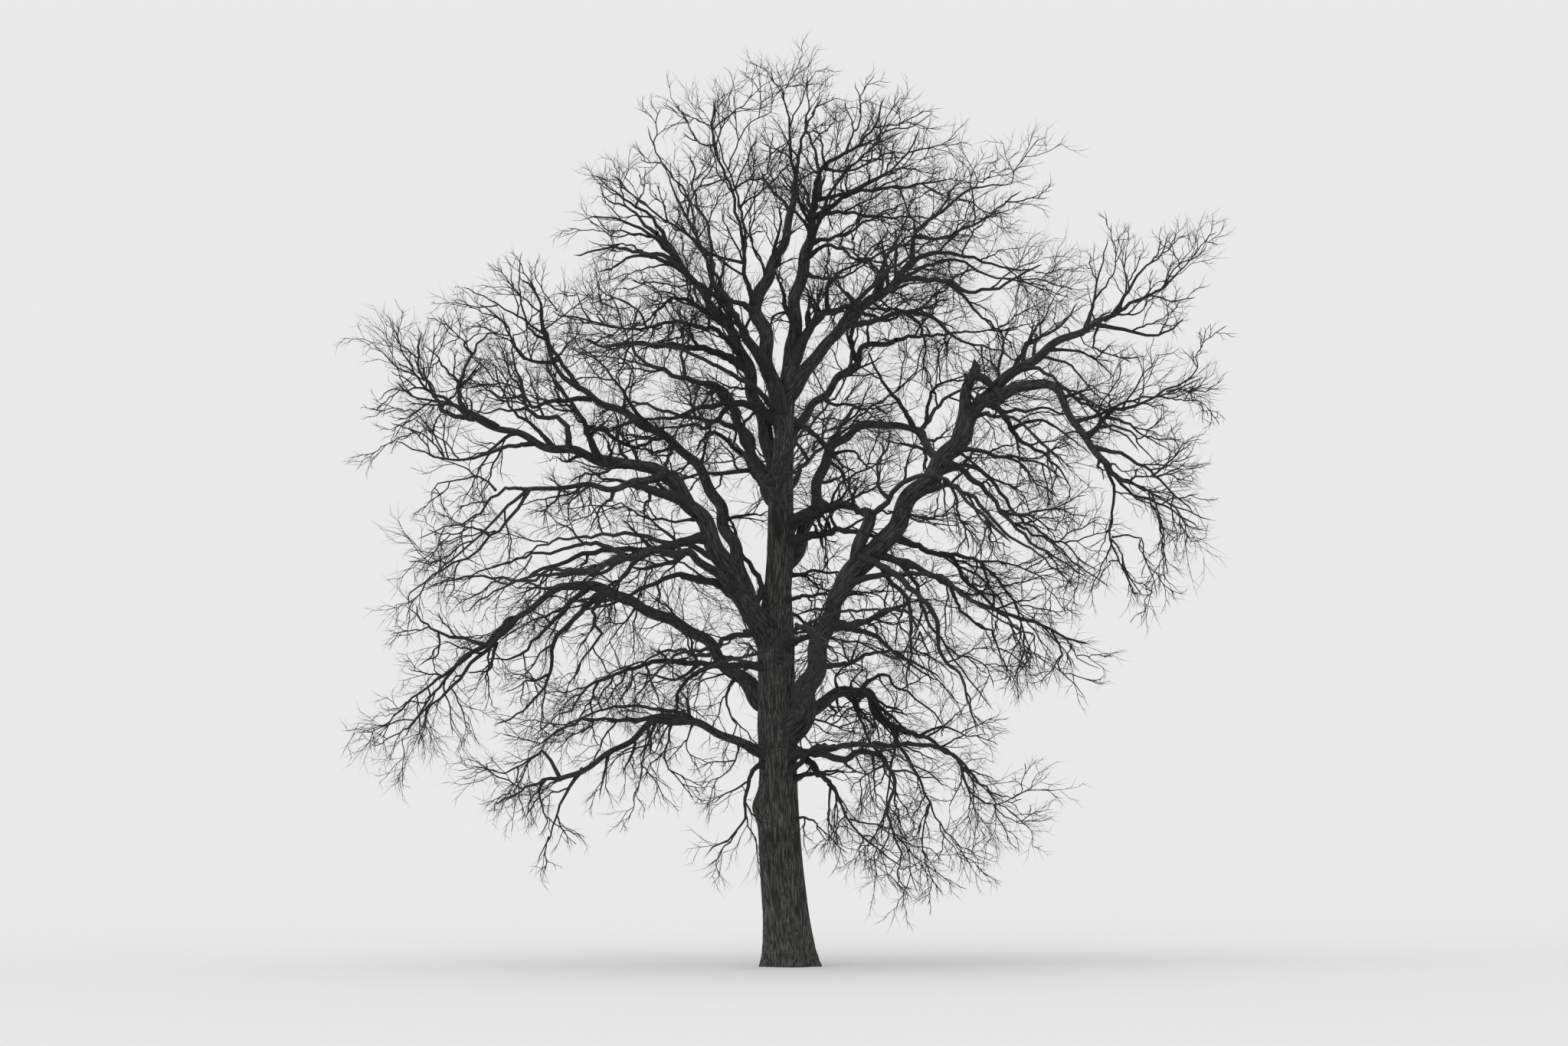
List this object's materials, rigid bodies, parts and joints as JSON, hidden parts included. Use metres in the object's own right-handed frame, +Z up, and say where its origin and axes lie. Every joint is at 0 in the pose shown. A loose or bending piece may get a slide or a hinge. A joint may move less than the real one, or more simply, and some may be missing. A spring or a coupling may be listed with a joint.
{
  "type": "bare winter tree",
  "caption": "Bare open-grown winter tree with a flared trunk, forking boughs and fine twigs in a broad rounded crown.",
  "frame": {"origin": "middle of the flat cut under the trunk, at ground level", "axes": "+Z up along the trunk; +Y away from the picture's viewer; +X to the viewer's right"},
  "size_m": [18.9555, 18.6542, 20.1287],
  "materials": {
    "trunk_bark": "rough furrowed bark",
    "bough_bark": "rough bark",
    "twigs": "matte twig bark"
  },
  "bodies": {
    "root": {"trunk": "trunk_bark", "leader_centre": "bough_bark", "leader_left": "bough_bark", "upper_left_bough": "bough_bark", "upper_right_bough": "bough_bark", "right_shoulder_bough": "bough_bark", "right_arch_bough": "bough_bark", "right_big_bough": "bough_bark", "right_high_bough": "bough_bark", "broken_stub": "bough_bark", "elbow_bough": "bough_bark", "low_right_bough": "bough_bark", "left_low_bough": "bough_bark", "left_sweep_inner": "bough_bark", "left_sweep_outer": "bough_bark", "west_outer_rise": "bough_bark", "west_outer_reach": "bough_bark", "west_inner_bough": "bough_bark", "left_shelf_bough": "bough_bark", "left_wand_bough": "bough_bark", "left_high_bough": "bough_bark", "top_centre_twigs": "twigs", "top_right_twigs": "twigs", "top_left_twigs": "twigs", "leader_west_twigs": "twigs", "upper_left_twigs": "twigs", "upper_left_front_twigs": "twigs", "upper_right_twigs": "twigs", "upper_right_back_twigs": "twigs", "right_shoulder_twigs": "twigs", "right_arch_twigs": "twigs", "right_inner_twigs": "twigs", "right_far_twigs": "twigs", "elbow_up_twigs": "twigs", "elbow_out_twigs": "twigs", "elbow_drop_twigs": "twigs", "right_mid_front_twigs": "twigs", "right_mid_back_twigs": "twigs", "right_low_front_twigs": "twigs", "right_low_back_twigs": "twigs", "low_right_out_twigs": "twigs", "low_right_drop_twigs": "twigs", "low_right_front_twigs": "twigs", "lowest_right_twigs": "twigs", "left_low_out_twigs": "twigs", "left_low_back_twigs": "twigs", "left_sweep_twigs": "twigs", "left_far_back_twigs": "twigs", "far_left_twigs": "twigs", "far_left_low_twigs": "twigs", "left_upper_twigs": "twigs", "left_shelf_twigs": "twigs", "left_shelf_back_twigs": "twigs", "left_wand_twigs": "twigs", "left_high_back_twigs": "twigs", "left_high_front_twigs": "twigs", "front_high_twigs": "twigs", "back_high_twigs": "twigs", "front_low_twigs": "twigs", "back_low_twigs": "twigs"}
  },
  "joints": []
}
